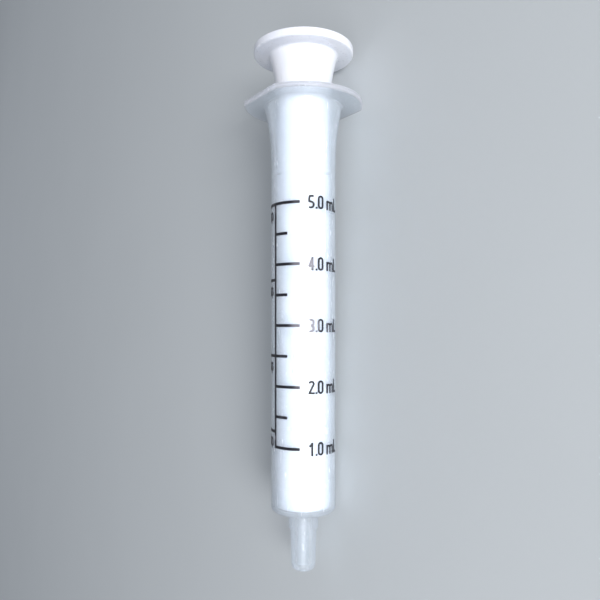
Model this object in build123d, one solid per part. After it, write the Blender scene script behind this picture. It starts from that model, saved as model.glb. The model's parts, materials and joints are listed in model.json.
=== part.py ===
from build123d import *

import os
from math import asin, cos, degrees, pi, radians, sin

# A small oral syringe of two mouldings: a barrel, and a one-piece plunger that slides in it.
# Two scales are printed round the barrel, one in millilitres and one in quarter teaspoons.
#
# Millimetres. Y runs along the syringe, with the nozzle towards -Y and the thumb disc towards +Y.
# The origin is the centre of the barrel's front face, where the nozzle starts.
# The flange's two flats face +Z and -Z, so the syringe lies with one of them down. Angles round
# the barrel are measured from +Z towards +X. Places in the print are measured round the barrel
# from the axis line, which runs between the two scales.

# ---- Barrel tube
CAPACITY_ML = 5
BORE_RADIUS = 5.30
BARREL_WALL = 0.88
FRONT_WALL = 0.88
FRONT_EDGE_RADIUS = 0.80
FLOOR_CORNER_RADIUS = 0.30

# ---- Stop bead: a low ring in the bore that the plunger's rear seal meets at full draw
BEAD_AFTER_SCALE = 5.50
BEAD_LENGTH = 1.20
BEAD_HEIGHT = 0.12

# ---- Trumpet flare and finger flange at the barrel's open end
FLARE_AFTER_BEAD = 1.75
FLARE_LENGTH = 10.70
FLARE_ARC_RADIUS = 44.6
FLANGE_ROOT_RADIUS = 0.60
FLANGE_THICKNESS = 0.98
FLANGE_OVERHANG = 5.18
FLANGE_FLAT_OVERHANG = 3.87
FLANGE_CORNER_RADIUS = 0.80
FLANGE_EDGE_RADIUS = 0.28
MOUTH_EDGE_RADIUS = 0.40

# ---- Nozzle
COLLAR_RADIUS = 2.86
COLLAR_LENGTH = 3.50
COLLAR_CHAMFER = 0.22
NOZZLE_LENGTH = 11.45
NOZZLE_ROOT_RADIUS = 2.53
NOZZLE_END_RADIUS = 2.30
NOZZLE_TIP_ROUNDING = 1.15
CHANNEL_RADIUS = 1.10
ORIFICE_RADIUS = 0.60
ORIFICE_LENGTH = 0.50
ORIFICE_CONE_LENGTH = 0.80

# ---- Plunger stem and seals
SEAT_GAP = 0.05
STEM_CLEARANCE = 0.24
SEAL_CLEARANCE = 0.02
SEAL_LENGTH = 1.10
FRONT_SEAL_SETBACK = 0.80
REAR_SEAL_SETBACK = 3.58
STEM_FRONT_RADIUS = 0.65
STOP_GAP = 0.05

# ---- Plunger flare, thumb disc and hollow core
PLUNGER_FLARE_INSIDE_MOUTH = 1.20
PLUNGER_FLARE_ARC_RADIUS = 34.0
THUMB_GAP = 8.71
DISC_OVERHANG = 4.47
DISC_RIM_THICKNESS = 1.48
DISC_BEVEL_WIDTH = 1.50
DISC_BEVEL_HEIGHT = 0.15
DISC_EDGE_RADIUS = 0.32
DISC_ROOT_RADIUS = 0.45
CORE_FRONT_WALL = 1.60
STEM_FRONT_WALL = 1.36
STEM_MOUTH_WALL = 0.96
CORE_CORNER_RADIUS = 1.00
CORE_EDGE_RADIUS = 0.35

# ---- Print that both scales share
INK_THICKNESS = 0.04
LINE_WEIGHT = 0.54
PRINT_SHIFT = -0.22

# ---- Millilitre scale, with its zero a little behind the seated plunger's face
ZERO_AFTER_FACE = 0.48
WHOLE_MARK_END = 5.50
HALF_MARK_END = 3.08
NUMERAL_HEIGHT = 2.50
NUMERAL_WIDTH = 1.22
NUMERAL_PEN = 0.38
WHOLES_AT = 7.65
POINT_AT = 8.61
TENTHS_AT = 9.49
M_AT = 11.86
M_HEIGHT = 1.75
M_WIDTH = 2.04
L_AT = 13.68
L_WIDTH = 1.15

# ---- Teaspoon scale
QUARTER_TSP_ML = 1.25
TSP_MARK_END = -5.40
TSP_LABEL_DROP = 1.80
TSP_HEIGHT = 2.20
TSP_WIDTH = 1.10
TSP_PEN = 0.30
TSP_NUMERAL_AT = -5.35
FRACTION_HEIGHT = 1.10
FRACTION_WIDTH = 0.70
FRACTION_PEN = 0.20
FRACTION_OFFSET = (0.53, 0.55)
TSP_LETTER_HEIGHT = 1.65
TSP_LETTER_WIDTH = 0.98
TSP_LETTERS_AT = {"t": -3.78, "s": -2.62, "p": -1.40}

# ---- Sizes that follow from the ones above
BARREL_RADIUS = BORE_RADIUS + BARREL_WALL
ML_LENGTH = 1000 / (pi * BORE_RADIUS**2)
PLUNGER_FACE = FRONT_WALL + SEAT_GAP
SCALE_ZERO = PLUNGER_FACE + ZERO_AFTER_FACE
BEAD_START = SCALE_ZERO + CAPACITY_ML * ML_LENGTH + BEAD_AFTER_SCALE
BEAD_END = BEAD_START + BEAD_LENGTH
FLARE_START = BEAD_END + FLARE_AFTER_BEAD
FLANGE_UNDERSIDE = FLARE_START + FLARE_LENGTH
FLANGE_TOP = FLANGE_UNDERSIDE + FLANGE_THICKNESS
STEM_RADIUS = BORE_RADIUS - STEM_CLEARANCE
DISC_RADIUS = STEM_RADIUS + DISC_OVERHANG
SEAL_RADIUS = BORE_RADIUS - SEAL_CLEARANCE
FRONT_SEAL_START = PLUNGER_FACE + FRONT_SEAL_SETBACK
REAR_SEAL_START = PLUNGER_FACE + REAR_SEAL_SETBACK
PLUNGER_TRAVEL = BEAD_START - STOP_GAP - REAR_SEAL_START - SEAL_LENGTH
PLUNGER_FLARE_START = FLANGE_TOP - PLUNGER_FLARE_INSIDE_MOUTH
DISC_UNDERSIDE = FLANGE_TOP + THUMB_GAP
DISC_RIM_UNDERSIDE = DISC_UNDERSIDE + DISC_BEVEL_HEIGHT
DISC_TOP = DISC_RIM_UNDERSIDE + DISC_RIM_THICKNESS

# How far a cutting solid runs past the face that it opens
CUT_MARGIN = 1.0


# ---- Shared shapes
def lathe(outline, corners=()):
    """A solid turned about Y from an outline of radius against Y.

    corners holds (radius, (x, y)) pairs: the outline's corner at each place is rounded.
    """
    face = make_face(outline)
    for radius, (x, y) in corners:
        nearest = face.vertices().sort_by_distance((x, y, 0))[0]
        face = fillet(nearest, radius)
    return revolve(face, Axis.Y)


def flare_arc(start_radius, y_start, y_end, arc_radius):
    """An arc that leaves a straight wall tangentially and widens towards +Y."""
    turn = degrees(asin((y_end - y_start) / arc_radius))
    return JernArc((start_radius, y_start), (0, 1), arc_radius, -turn)


def crown(radius, y_start, length, height):
    """The outline of a low ring, standing out of a wall, or into it for a height below zero."""
    middle = (radius + height, y_start + length / 2)
    return ThreePointArc((radius, y_start), middle, (radius, y_start + length))


# ---- Barrel
def barrel_outside():
    """Nozzle, collar, tube and flare, up to a stub that the flange joins."""
    flare = flare_arc(BARREL_RADIUS, FLARE_START, FLANGE_UNDERSIDE, FLARE_ARC_RADIUS)
    flare_radius = (flare @ 1).X
    stub_radius = flare_radius + 2 * FLANGE_ROOT_RADIUS
    nozzle_and_tube = Polyline(
        (0, -NOZZLE_LENGTH),
        (NOZZLE_END_RADIUS, -NOZZLE_LENGTH),
        (NOZZLE_ROOT_RADIUS, -COLLAR_LENGTH),
        (COLLAR_RADIUS - COLLAR_CHAMFER, -COLLAR_LENGTH),
        (COLLAR_RADIUS, COLLAR_CHAMFER - COLLAR_LENGTH),
        (COLLAR_RADIUS, 0),
        (BARREL_RADIUS, 0),
        (BARREL_RADIUS, FLARE_START),
    )
    stub = Polyline(
        (flare_radius, FLANGE_UNDERSIDE),
        (stub_radius, FLANGE_UNDERSIDE),
        (stub_radius, FLANGE_TOP),
        (0, FLANGE_TOP),
        (0, -NOZZLE_LENGTH),
    )
    corners = [
        (NOZZLE_TIP_ROUNDING, (NOZZLE_END_RADIUS, -NOZZLE_LENGTH)),
        (FRONT_EDGE_RADIUS, (BARREL_RADIUS, 0)),
        (FLANGE_ROOT_RADIUS, (flare_radius, FLANGE_UNDERSIDE)),
    ]
    return lathe(nozzle_and_tube + flare + stub, corners)


def barrel_hollow():
    """The bore with its stop bead and flared mouth, and the nozzle's channel and orifice."""
    below_tip = -NOZZLE_LENGTH - CUT_MARGIN
    cone_start = ORIFICE_LENGTH - NOZZLE_LENGTH
    above_top = FLANGE_TOP + CUT_MARGIN
    mouth = flare_arc(BORE_RADIUS, FLARE_START, FLANGE_TOP, FLARE_ARC_RADIUS + BARREL_WALL)
    mouth_radius = (mouth @ 1).X
    relief_radius = mouth_radius + 2 * MOUTH_EDGE_RADIUS
    channel_and_bore = Polyline(
        (0, below_tip),
        (ORIFICE_RADIUS, below_tip),
        (ORIFICE_RADIUS, cone_start),
        (CHANNEL_RADIUS, cone_start + ORIFICE_CONE_LENGTH),
        (CHANNEL_RADIUS, FRONT_WALL),
        (BORE_RADIUS, FRONT_WALL),
        (BORE_RADIUS, BEAD_START),
    )
    bead = crown(BORE_RADIUS, BEAD_START, BEAD_LENGTH, -BEAD_HEIGHT)
    neck = Line((BORE_RADIUS, BEAD_END), (BORE_RADIUS, FLARE_START))
    closing = Polyline(
        (mouth_radius, FLANGE_TOP),
        (relief_radius, FLANGE_TOP),
        (relief_radius, above_top),
        (0, above_top),
        (0, below_tip),
    )
    corners = [
        (FLOOR_CORNER_RADIUS, (BORE_RADIUS, FRONT_WALL)),
        (MOUTH_EDGE_RADIUS, (mouth_radius, FLANGE_TOP)),
    ]
    return lathe(channel_and_bore + bead + neck + mouth + closing, corners)


def flange():
    """A thin round plate, with two parallel flats that stop the syringe rolling."""
    plate_radius = BARREL_RADIUS + FLANGE_OVERHANG
    across_flats = 2 * (BARREL_RADIUS + FLANGE_FLAT_OVERHANG)
    outline = Circle(plate_radius) & Rectangle(across_flats, 2 * plate_radius)
    outline = fillet(outline.vertices(), FLANGE_CORNER_RADIUS)
    plate = extrude(outline, FLANGE_THICKNESS)
    levels = plate.edges().group_by(Axis.Z)
    plate = fillet(levels[0] + levels[-1], FLANGE_EDGE_RADIUS)
    return Plane((0, FLANGE_UNDERSIDE, 0), x_dir=(0, 0, 1), z_dir=(0, 1, 0)) * plate


def barrel():
    return barrel_outside() + flange() - barrel_hollow()


# ---- Plunger
def plunger_outside():
    """The stem with its two seal ribs, the flare and the thumb disc."""
    seal_height = SEAL_RADIUS - STEM_RADIUS
    front_seal = crown(STEM_RADIUS, FRONT_SEAL_START, SEAL_LENGTH, seal_height)
    rear_seal = crown(STEM_RADIUS, REAR_SEAL_START, SEAL_LENGTH, seal_height)
    flare = flare_arc(STEM_RADIUS, PLUNGER_FLARE_START, DISC_UNDERSIDE, PLUNGER_FLARE_ARC_RADIUS)
    flare_radius = (flare @ 1).X
    front = Polyline(
        (0, PLUNGER_FACE),
        (STEM_RADIUS, PLUNGER_FACE),
        front_seal @ 0,
    )
    between_seals = Line(front_seal @ 1, rear_seal @ 0)
    stem = Line(rear_seal @ 1, flare @ 0)
    disc = Polyline(
        (flare_radius, DISC_UNDERSIDE),
        (DISC_RADIUS - DISC_BEVEL_WIDTH, DISC_UNDERSIDE),
        (DISC_RADIUS, DISC_RIM_UNDERSIDE),
        (DISC_RADIUS, DISC_TOP),
        (0, DISC_TOP),
        (0, PLUNGER_FACE),
    )
    corners = [
        (STEM_FRONT_RADIUS, (STEM_RADIUS, PLUNGER_FACE)),
        (DISC_ROOT_RADIUS, (flare_radius, DISC_UNDERSIDE)),
        (DISC_EDGE_RADIUS, (DISC_RADIUS, DISC_RIM_UNDERSIDE)),
        (DISC_EDGE_RADIUS, (DISC_RADIUS, DISC_TOP)),
    ]
    return lathe(front + front_seal + between_seals + rear_seal + stem + flare + disc, corners)


def plunger_core():
    """The slightly tapered hollow that keeps the walls thin, open at the thumb end."""
    core_floor = PLUNGER_FACE + CORE_FRONT_WALL
    front_radius = STEM_RADIUS - STEM_FRONT_WALL
    mouth_radius = STEM_RADIUS - STEM_MOUTH_WALL
    relief_radius = mouth_radius + 2 * CORE_EDGE_RADIUS
    above_top = DISC_TOP + CUT_MARGIN
    outline = Polyline(
        (0, core_floor),
        (front_radius, core_floor),
        (mouth_radius, DISC_TOP),
        (relief_radius, DISC_TOP),
        (relief_radius, above_top),
        (0, above_top),
        (0, core_floor),
    )
    corners = [
        (CORE_CORNER_RADIUS, (front_radius, core_floor)),
        (CORE_EDGE_RADIUS, (mouth_radius, DISC_TOP)),
    ]
    return lathe(outline, corners)


def plunger():
    return plunger_outside() - plunger_core()


# ---- Printed lines
def mark_y(millilitres):
    return SCALE_ZERO + millilitres * ML_LENGTH


def angle_at(distance):
    """The angle of a place whose distance round the barrel from the axis line is known."""
    return degrees((PRINT_SHIFT + distance) / BARREL_RADIUS)


def ink_ring(y_from, y_to, start_angle, sweep):
    """A film of ink round the barrel, from an angle through a sweep."""
    section = Rectangle(INK_THICKNESS, y_to - y_from, align=(Align.MIN, Align.MIN))
    # A section in the XY plane stands at 90 degrees from +Z, so it is turned back to its start.
    section = Rot(0, start_angle - 90, 0) * Pos(BARREL_RADIUS, y_from) * section
    return revolve(section, Axis.Y, sweep)


def ink_patch(middle, length, x_from, x_to):
    """A patch of ink centred at a place along Y, between two distances round the barrel."""
    start = angle_at(x_from)
    return ink_ring(middle - length / 2, middle + length / 2, start, angle_at(x_to) - start)


def whole_millilitres():
    return range(1, CAPACITY_ML + 1)


def quarter_teaspoons():
    return range(1, int(CAPACITY_ML / QUARTER_TSP_ML) + 1)


def ml_axis_line():
    """The line along the barrel that every mark starts from."""
    middle = (mark_y(1) + mark_y(CAPACITY_ML)) / 2
    length = mark_y(CAPACITY_ML) - mark_y(1) + LINE_WEIGHT
    return [ink_patch(middle, length, -LINE_WEIGHT / 2, LINE_WEIGHT / 2)]


def ml_marks(values, end):
    return [ink_patch(mark_y(value), LINE_WEIGHT, LINE_WEIGHT / 2, end) for value in values]


def ml_whole_marks():
    return ml_marks(whole_millilitres(), WHOLE_MARK_END)


def ml_half_marks():
    return ml_marks([value - 0.5 for value in whole_millilitres() if value > 1], HALF_MARK_END)


def tsp_marks():
    """Marks that leave the axis line on its other side."""
    levels = [mark_y(count * QUARTER_TSP_ML) for count in quarter_teaspoons()]
    return [ink_patch(y, LINE_WEIGHT, TSP_MARK_END, -LINE_WEIGHT / 2) for y in levels]


# ---- Printed characters
# Each is drawn round its own centre by a pen whose middle line stays within a of the centre in x
# and within b in y.
def strokes(pen, *paths):
    return Sketch() + [trace(path, pen) for path in paths]


def ring(radius, pen):
    return Circle(radius + pen / 2) - Circle(radius - pen / 2)


def zero(a, b, pen):
    outside = SlotOverall(2 * b + pen, 2 * a + pen, rotation=90)
    return outside - SlotOverall(2 * b - pen, 2 * a - pen, rotation=90)


def one(a, b, pen):
    stem_x = 0.35 * a
    stem = Line((stem_x, -b - pen / 2), (stem_x, b + pen / 2))
    return strokes(pen, stem, Line((stem_x, 0.9 * b), (-a, 0.45 * b)))


def two(a, b, pen):
    bowl = CenterArc((0, b - a), a, 170, -205)
    return strokes(pen, bowl, Line(bowl @ 1, (-a, -b)), Line((-a - pen / 2, -b), (a + pen / 2, -b)))


def three(a, b, pen):
    bowl = b / 2
    upper = CenterArc((a - bowl, bowl), bowl, 130, -220)
    lower = CenterArc((a - bowl, -bowl), bowl, 90, -220)
    return strokes(pen, upper, lower)


def four(a, b, pen):
    bar_y = -0.4 * b
    stem_x = 0.45 * a
    bar = Line((-a - pen / 2, bar_y), (a + pen / 2, bar_y))
    stem = Line((stem_x, -b - pen / 2), (stem_x, b + pen / 2))
    return strokes(pen, bar, stem, Line((stem_x, b), (-a, bar_y)))


def five(a, b, pen):
    bowl = 0.52 * b
    belly = CenterArc((a - bowl, bowl - b), bowl, 125, -255)
    return strokes(pen, belly, Line(belly @ 0, (-0.85 * a, b)), Line((-a, b), (a, b)))


def six(a, b, pen):
    back = ThreePointArc((-a, a - b), (-0.7 * a, 0.3 * b), (0.6 * a, b))
    return strokes(pen, back) + Pos(0, a - b) * ring(a, pen)


def seven(a, b, pen):
    return strokes(pen, Line((-a, b), (a + pen / 2, b)), Line((0.9 * a, b), (-0.3 * a, -b)))


def eight(a, b, pen):
    bowl = b / 2
    return Pos(0, bowl) * ring(bowl, pen) + Pos(0, -bowl) * ring(bowl, pen)


def nine(a, b, pen):
    return Rot(0, 0, 180) * six(a, b, pen)


def letter_m(a, b, pen):
    arch = a / 2
    stem = Line((-a, -b - pen / 2), (-a, b + pen / 2))
    legs = [Line((x, -b - pen / 2), (x, b - arch)) for x in (0, a)]
    arches = [CenterArc((x, b - arch), arch, 180, -180) for x in (-arch, arch)]
    return strokes(pen, stem, *legs, *arches)


def letter_l(a, b, pen):
    foot = Line((-a, -b), (a + pen / 2, -b))
    return strokes(pen, Line((-a, -b - pen / 2), (-a, b + pen / 2)), foot)


def letter_t(a, b, pen):
    return strokes(pen, Line((0, 1.6 * b), (0, -b)), Line((-a, b), (a, b)), Line((0, -b), (a, -b)))


def letter_s(a, b, pen):
    bowl = b / 2
    upper = CenterArc((0, bowl), bowl, 30, 240)
    return strokes(pen, upper, CenterArc((0, -bowl), bowl, 90, -240))


def letter_p(a, b, pen):
    return strokes(pen, Line((-a, b + pen / 2), (-a, -1.9 * b))) + zero(a, b, pen)


def slash(a, b, pen):
    return strokes(pen, Line((-a, -b), (a, b)))


DIGITS = (zero, one, two, three, four, five, six, seven, eight, nine)
LETTERS = {"m": letter_m, "L": letter_l, "t": letter_t, "s": letter_s, "p": letter_p}


def character(draw, width, height, pen):
    """A flat character of an overall width and height."""
    return draw((width - pen) / 2, (height - pen) / 2, pen)


def printed(sketch, distance, y):
    """A flat sketch laid on the barrel as ink, at a distance round it and a place along Y."""
    angle = radians(angle_at(distance))
    facing = Vector(sin(angle), 0, cos(angle))
    seat = Plane(facing * BARREL_RADIUS + Vector(0, y, 0), x_dir=(cos(angle), 0, -sin(angle)), z_dir=facing)
    size = sketch.bounding_box().size
    block = extrude(seat * sketch, max(size.X, size.Y) / 2, dir=facing, both=True)
    return block & ink_ring(0, FLARE_START, 180, 360)


def ml_numerals():
    """Each whole mark's number with its decimal point and a nought, centred on the mark."""
    nought = character(zero, NUMERAL_WIDTH, NUMERAL_HEIGHT, NUMERAL_PEN)
    point = Pos(0, (NUMERAL_PEN - NUMERAL_HEIGHT) / 2) * Rectangle(NUMERAL_PEN, NUMERAL_PEN)
    ink = []
    for value in whole_millilitres():
        digit = character(DIGITS[value], NUMERAL_WIDTH, NUMERAL_HEIGHT, NUMERAL_PEN)
        ink.append(printed(digit, WHOLES_AT, mark_y(value)))
        ink.append(printed(point, POINT_AT, mark_y(value)))
        ink.append(printed(nought, TENTHS_AT, mark_y(value)))
    return ink


def ml_unit():
    """The unit after each number, standing on the number's own base line."""
    small = character(letter_m, M_WIDTH, M_HEIGHT, NUMERAL_PEN)
    small = Pos(0, (M_HEIGHT - NUMERAL_HEIGHT) / 2) * small
    capital = character(letter_l, L_WIDTH, NUMERAL_HEIGHT, NUMERAL_PEN)
    letters = ((small, M_AT), (capital, L_AT))
    return [printed(letter, at, mark_y(v)) for v in whole_millilitres() for letter, at in letters]


def tsp_label_y(quarters):
    return mark_y(quarters * QUARTER_TSP_ML) - TSP_LABEL_DROP


def fraction(top, bottom):
    """A small fraction, its two digits either side of a slash."""
    across, up = FRACTION_OFFSET
    upper = Pos(-across, up) * character(DIGITS[top], FRACTION_WIDTH, FRACTION_HEIGHT, FRACTION_PEN)
    lower = Pos(across, -up) * character(DIGITS[bottom], FRACTION_WIDTH, FRACTION_HEIGHT, FRACTION_PEN)
    bar = character(slash, 2 * FRACTION_WIDTH, TSP_HEIGHT, FRACTION_PEN)
    return [upper, lower, bar]


def tsp_numerals():
    """A quarter, a half, three quarters and one, below their marks."""
    quarter_names = {1: (1, 4), 2: (1, 2), 3: (3, 4)}
    ink = []
    for quarters in quarter_teaspoons():
        wholes, left = divmod(quarters, 4)
        if left:
            for sketch in fraction(*quarter_names[left]):
                ink.append(printed(sketch, TSP_NUMERAL_AT, tsp_label_y(quarters)))
        else:
            digit = character(DIGITS[wholes], TSP_WIDTH, TSP_HEIGHT, TSP_PEN)
            ink.append(printed(digit, TSP_NUMERAL_AT, tsp_label_y(quarters)))
    return ink


def tsp_unit():
    """The unit after each teaspoon number, standing on the number's own base line."""
    ink = []
    drop = (TSP_LETTER_HEIGHT - TSP_HEIGHT) / 2
    for quarters in quarter_teaspoons():
        for draw, at in TSP_LETTERS_AT.items():
            letter = character(LETTERS[draw], TSP_LETTER_WIDTH, TSP_LETTER_HEIGHT, TSP_PEN)
            ink.append(printed(Pos(0, drop) * letter, at, tsp_label_y(quarters)))
    return ink


# ---- Write one file for each piece
PIECES = {
    "barrel": barrel,
    "plunger": plunger,
    "ml_axis_line": ml_axis_line,
    "ml_whole_marks": ml_whole_marks,
    "ml_half_marks": ml_half_marks,
    "ml_numerals": ml_numerals,
    "ml_unit": ml_unit,
    "tsp_marks": tsp_marks,
    "tsp_numerals": tsp_numerals,
    "tsp_unit": tsp_unit,
}


def write_pieces():
    os.makedirs("parts", exist_ok=True)
    for name, make in PIECES.items():
        made = make()
        solids = made.solids() if isinstance(made, Part) else [s for m in made for s in m.solids()]
        export_step(Compound(children=solids, label=name), f"parts/{name}.step")
        print(f"{name}: {len(solids)} solids")
    print(f"plunger travel {PLUNGER_TRAVEL:.3f} mm, thumb disc top at {DISC_TOP:.3f} mm")


write_pieces()
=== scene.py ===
import json
import math

import bpy
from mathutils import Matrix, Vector


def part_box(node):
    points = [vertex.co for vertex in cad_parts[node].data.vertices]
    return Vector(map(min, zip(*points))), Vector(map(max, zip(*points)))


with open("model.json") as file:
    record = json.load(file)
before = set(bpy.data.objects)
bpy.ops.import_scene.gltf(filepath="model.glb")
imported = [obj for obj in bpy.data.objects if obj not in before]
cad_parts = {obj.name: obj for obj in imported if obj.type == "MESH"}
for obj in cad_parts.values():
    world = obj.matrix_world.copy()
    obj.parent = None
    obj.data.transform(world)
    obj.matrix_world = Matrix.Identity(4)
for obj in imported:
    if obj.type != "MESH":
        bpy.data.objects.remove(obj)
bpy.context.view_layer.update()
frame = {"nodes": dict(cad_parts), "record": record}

# Metres, in the part's own frame: the syringe's axis runs along Y with the nozzle at -Y, a flat of
# the finger flange faces the floor, and the printed scales face up. Angles round the axis run from
# +Z towards +X.

VIEW_ANGLE = 55.0  # degrees round the axis at which the camera stands
CAMERA_DISTANCE = 0.1179
CAMERA_LEVEL = 0.03592  # along the axis from the barrel's front face
CAMERA_CLIP = 0.005
LENS = 36.72
SHIFT_X = -0.0057
SHIFT_Y = 0.0380

BARREL_FRONT = 0.0008  # along the axis, where the barrel's front rounding meets its side
FLANGE_DEPTH = 0.0009  # from the flange's back face to where its flat meets the front rounding
FLOOR_REACH = 3.0  # from the middle of the floor to its edges

LIGHT_AIM = (0, 0.04, 0)
SKY_STRENGTH = 0.36

# How far inside the flange's edge its painted light starts and is full, in millimetres: a whiter
# tint that stands in for the light the edge catches
RIM_START = 0.30
RIM_FULL = 0.12

# Where handling has rubbed the print thin: a place in millimetres, its radius and how thin
RUBBED = [
    ((5.78, 46.74, 2.23), 1.5, 0.80),
    ((5.78, 35.41, 2.23), 2.3, 0.95),
    ((4.60, 58.07, 4.20), 1.8, 0.15),
    ((4.60, 46.74, 4.20), 2.2, 0.50),
    ((4.60, 35.41, 4.20), 2.4, 0.62),
    ((4.60, 24.07, 4.20), 1.4, 0.30),
]


# ---------------------------------------------------------------- node helpers


def add(tree, kind, sockets=None, **settings):
    """A node, its sockets set to a value or linked from another node's socket."""
    made = tree.nodes.new("ShaderNode" + kind)
    for name, value in settings.items():
        setattr(made, name, value)
    for name, value in (sockets or {}).items():
        if isinstance(value, bpy.types.NodeSocket):
            tree.links.new(value, made.inputs[name])
        else:
            made.inputs[name].default_value = value
    return made


def surface_point(tree):
    """The point on the piece, in millimetres of the part's frame at rest."""
    where = add(tree, "TexCoord").outputs["Object"]
    return add(tree, "Mapping", {"Vector": where, "Scale": (1000, 1000, 1000)}).outputs[0]


def noise(tree, point, per_mm, detail=3.0, stretch=(1, 1, 1)):
    """Noise from 0 to 1 with about this many features in a millimetre."""
    scaled = add(tree, "Mapping", {"Vector": point, "Scale": stretch}).outputs[0]
    return add(
        tree,
        "TexNoise",
        {"Vector": scaled, "Scale": per_mm, "Detail": detail, "Roughness": 0.55},
    ).outputs[0]


def spread(tree, value, low, high, to_low, to_high):
    """value from low to high, taken smoothly to to_low to to_high."""
    return add(
        tree,
        "MapRange",
        {
            "Value": value,
            "From Min": low,
            "From Max": high,
            "To Min": to_low,
            "To Max": to_high,
        },
        interpolation_type="SMOOTHSTEP",
    ).outputs[0]


def calc(tree, operation, first, second=0.0):
    made = add(tree, "Math", operation=operation)
    for socket, value in zip(made.inputs, (first, second)):
        if isinstance(value, bpy.types.NodeSocket):
            tree.links.new(value, socket)
        else:
            socket.default_value = value
    return made.outputs[0]


def blend_colour(tree, amount, first, second):
    made = add(tree, "Mix", {"Factor": amount}, data_type="RGBA")
    for socket, value in ((made.inputs[6], first), (made.inputs[7], second)):
        if isinstance(value, bpy.types.NodeSocket):
            tree.links.new(value, socket)
        else:
            socket.default_value = (*value, 1)
    return made.outputs[2]


def bump(tree, height, depth_mm, under=None):
    """Relief of this depth, over another relief if one is given."""
    made = add(
        tree,
        "Bump",
        {"Height": height, "Strength": 1.0, "Distance": depth_mm / 1000},
    )
    if under is not None:
        tree.links.new(under, made.inputs["Normal"])
    return made.outputs[0]


def new_material(name):
    made = bpy.data.materials.new(name)
    made.use_nodes = True
    made.node_tree.nodes.clear()
    return made, made.node_tree


def show(tree, shader, inside=None):
    """Makes shader the material's surface, and inside, if given, its volume."""
    output = add(tree, "OutputMaterial")
    tree.links.new(shader, output.inputs["Surface"])
    if inside is not None:
        tree.links.new(inside, output.inputs["Volume"])


# ---------------------------------------------------------------- materials


def white_polyethylene():
    """The plunger: opaque white, semi-gloss, with drawn flow lines and light scuffs."""
    made, tree = new_material("white_polyethylene")
    point = surface_point(tree)
    cloud = noise(tree, point, 0.12)
    flow = noise(tree, point, 1.6, 2.0, (1, 0.035, 1))
    grain = noise(tree, point, 7.0)
    scuffs = spread(tree, noise(tree, point, 5.0, 4.0, (1, 0.12, 1)), 0.60, 0.72, 0, 1)

    cloudy = spread(tree, cloud, 0.3, 0.7, 0, 1)
    tint = blend_colour(tree, cloudy, (0.83, 0.85, 0.92), (0.90, 0.91, 0.96))
    tint = blend_colour(tree, calc(tree, "MULTIPLY", scuffs, 0.18), tint, (0.78, 0.78, 0.82))
    drawn = spread(tree, flow, 0.3, 0.7, 0.27, 0.36)
    rough = calc(tree, "ADD", drawn, calc(tree, "MULTIPLY", scuffs, 0.14))
    relief = bump(tree, grain, 0.003, bump(tree, flow, 0.006))
    shader = add(
        tree,
        "BsdfPrincipled",
        {
            "Base Color": tint,
            "Roughness": rough,
            "Normal": relief,
            "IOR": 1.51,
            "Subsurface Weight": 0.25,
            "Subsurface Radius": (1.0, 0.95, 0.9),
            "Subsurface Scale": 0.0012,
        },
    )
    show(tree, shader.outputs[0])
    return made


def painted_rim_light(tree, point):
    """1 on the finger flange's edge, both its round part and its flats, and 0 elsewhere; it places
    the barrel's painted rim light.
    """
    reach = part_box("barrel")[1] * 1000
    axes = add(tree, "SeparateXYZ", {"Vector": point}).outputs
    across = calc(tree, "ABSOLUTE", axes["Z"])
    radius = add(tree, "VectorMath", {0: point, 1: (1, 0, 1)}, operation="MULTIPLY").outputs[0]
    radius = add(tree, "VectorMath", {0: radius}, operation="LENGTH").outputs["Value"]
    on_round = spread(tree, radius, reach.x - RIM_START, reach.x - RIM_FULL, 0, 1)
    on_flat = spread(tree, across, reach.z - RIM_START, reach.z - RIM_FULL, 0, 1)
    return calc(tree, "MAXIMUM", on_round, on_flat)


def natural_polypropylene():
    """The barrel: milky and see-through, satin outside, with flow lines along the draw."""
    made, tree = new_material("natural_polypropylene")
    point = surface_point(tree)
    cloud = noise(tree, point, 0.22)
    flow = noise(tree, point, 0.9, 2.0, (1, 0.03, 1))
    grain = noise(tree, point, 6.0)
    scuffs = spread(tree, noise(tree, point, 4.0, 4.0, (1, 0.10, 1)), 0.60, 0.70, 0, 1)

    cloudy = spread(tree, cloud, 0.3, 0.7, 0, 1)
    tint = blend_colour(tree, cloudy, (0.79, 0.845, 0.885), (0.84, 0.885, 0.925))
    # Painted light: the flange's edge is tinted whiter to stand in for the light that its edge
    # catches and scatters.
    tint = blend_colour(tree, painted_rim_light(tree, point), tint, (1.0, 0.97, 1.0))
    drawn = spread(tree, flow, 0.3, 0.7, 0.24, 0.26)
    rough = calc(tree, "ADD", drawn, calc(tree, "MULTIPLY", scuffs, 0.03))
    relief = bump(tree, grain, 0.0005, bump(tree, flow, 0.0003))
    body = add(
        tree,
        "BsdfPrincipled",
        {
            "Base Color": tint,
            "Roughness": rough,
            "Normal": relief,
            "IOR": 1.49,
            "Transmission Weight": 0.87,
        },
    )
    lit_through = add(tree, "BsdfTransparent", {"Color": (0.97, 0.965, 0.975, 1)})
    ray = add(tree, "LightPath").outputs["Is Shadow Ray"]
    both = add(tree, "MixShader", {0: ray, 1: body.outputs[0], 2: lit_through.outputs[0]})
    milk = add(
        tree,
        "VolumePrincipled",
        {"Color": (0.855, 0.89, 0.93, 1), "Density": 340.0, "Anisotropy": 0.0},
    )
    show(tree, both.outputs[0], milk.outputs[0])
    return made


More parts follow.
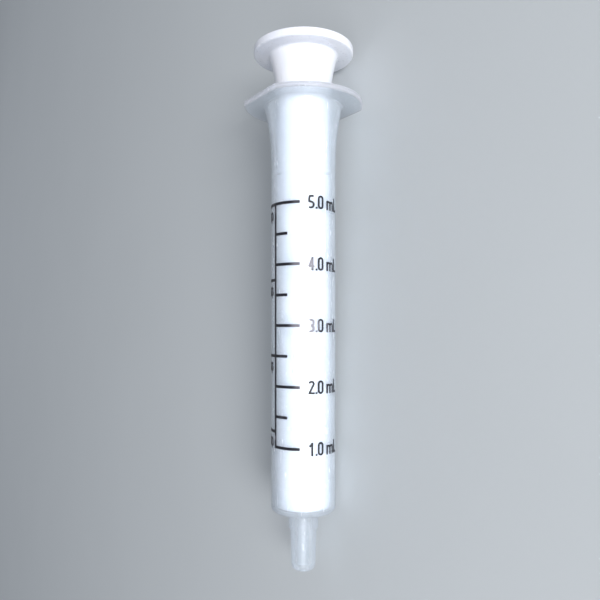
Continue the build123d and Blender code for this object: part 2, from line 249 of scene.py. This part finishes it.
def pad_ink():
    """The print: black, slightly uneven, rubbed thin where fingers pass over it."""
    made, tree = new_material("pad_ink")
    point = surface_point(tree)
    patches = noise(tree, point, 0.45, 2.0)
    speckle = noise(tree, point, 5.5, 4.0)
    thin = spread(tree, patches, 0.57, 0.77, 0, 0.4)
    holes = spread(tree, speckle, 0.60, 0.72, 0, 0.35)
    worn = calc(tree, "MAXIMUM", thin, holes)
    for place, radius, strength in RUBBED:
        gap = add(tree, "VectorMath", {0: point, 1: place}, operation="DISTANCE").outputs["Value"]
        worn = calc(tree, "MAXIMUM", worn, spread(tree, gap, radius / 3, radius, strength, 0))
    tint = blend_colour(tree, worn, (0.006, 0.006, 0.011), (0.30, 0.285, 0.32))
    rough = spread(tree, speckle, 0.3, 0.7, 0.42, 0.62)
    relief = bump(tree, speckle, 0.006)
    shader = add(
        tree,
        "BsdfPrincipled",
        {"Base Color": tint, "Roughness": rough, "Normal": relief, "IOR": 1.48},
    )
    show(tree, shader.outputs[0])
    return made


def pale_floor():
    made, tree = new_material("pale_floor")
    point = surface_point(tree)
    tint = blend_colour(tree, noise(tree, point, 0.02), (0.60, 0.63, 0.64), (0.63, 0.66, 0.67))
    shader = add(tree, "BsdfPrincipled", {"Base Color": tint, "Roughness": 0.8})
    show(tree, shader.outputs[0])
    return made


def paint():
    finishes = {
        "barrel_plastic": natural_polypropylene(),
        "plunger_plastic": white_polyethylene(),
        "ink": pad_ink(),
    }
    for part in frame["record"]["subparts"]:
        slots = frame["nodes"][part["node"]].material_slots
        for slot in slots:
            slot.material = finishes[part["material_slot"]]


# ---------------------------------------------------------------- floor, light and camera


def lay_floor():
    """A pale floor that the flange's lower flat and the barrel's front edge both rest on."""
    flange_low, flange_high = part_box("barrel")
    front_height = -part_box("ml_axis_line")[1].z
    tilt = math.atan2(front_height - flange_low.z, flange_high.y - FLANGE_DEPTH - BARREL_FRONT)
    sides = ((-1, -1), (1, -1), (1, 1), (-1, 1))
    corners = [(x * FLOOR_REACH, y * FLOOR_REACH, 0) for x, y in sides]
    mesh = bpy.data.meshes.new("floor")
    mesh.from_pydata(corners, [], [(0, 1, 2, 3)])
    mesh.materials.append(pale_floor())
    floor = bpy.data.objects.new("floor", mesh)
    floor.rotation_euler = (-tilt, 0, 0)
    floor.location = (0, BARREL_FRONT, front_height)
    bpy.context.scene.collection.objects.link(floor)


def round_axis(angle, radius, level):
    """The point at this angle and distance from the syringe's axis."""
    turn = math.radians(angle)
    return (radius * math.sin(turn), level, radius * math.cos(turn))


def add_lamp(name, place, aim, size, power, colour):
    data = bpy.data.lights.new(name, "AREA")
    data.shape = "DISK"
    data.size = size
    data.energy = power
    data.color = colour
    lamp = bpy.data.objects.new(name, data)
    bpy.context.scene.collection.objects.link(lamp)
    lamp.location = place
    lamp.rotation_mode = "QUATERNION"
    toward = Vector(aim) - Vector(place)
    lamp.rotation_quaternion = toward.to_track_quat("-Z", "Y")


def light():
    add_lamp("key", round_axis(68, 0.60, 0.02), LIGHT_AIM, 0.20, 3.68, (0.985, 0.985, 1.0))
    add_lamp("low", round_axis(50, 0.36, -0.16), LIGHT_AIM, 0.16, 0.22, (0.96, 0.97, 1.0))
    add_lamp("back", round_axis(-60, 0.55, 0.10), LIGHT_AIM, 0.35, 0.12, (0.92, 0.94, 1.0))
    world = bpy.data.worlds.new("studio")
    world.use_nodes = True
    sky = world.node_tree.nodes["Background"]
    sky.inputs["Color"].default_value = (0.83, 0.88, 0.97, 1)
    sky.inputs["Strength"].default_value = SKY_STRENGTH
    bpy.context.scene.world = world
    bpy.context.scene.view_settings.view_transform = "Standard"
    bpy.context.scene.cycles.volume_bounces = 3


def place_camera():
    data = bpy.data.cameras.new("camera")
    data.lens = LENS
    data.shift_x = SHIFT_X
    data.shift_y = SHIFT_Y
    data.clip_start = CAMERA_CLIP
    camera = bpy.data.objects.new("camera", data)
    bpy.context.scene.collection.objects.link(camera)
    camera.location = round_axis(VIEW_ANGLE, CAMERA_DISTANCE, CAMERA_LEVEL)
    camera.rotation_euler = (0, math.radians(VIEW_ANGLE), 0)
    bpy.context.scene.camera = camera


paint()
lay_floor()
light()
place_camera()
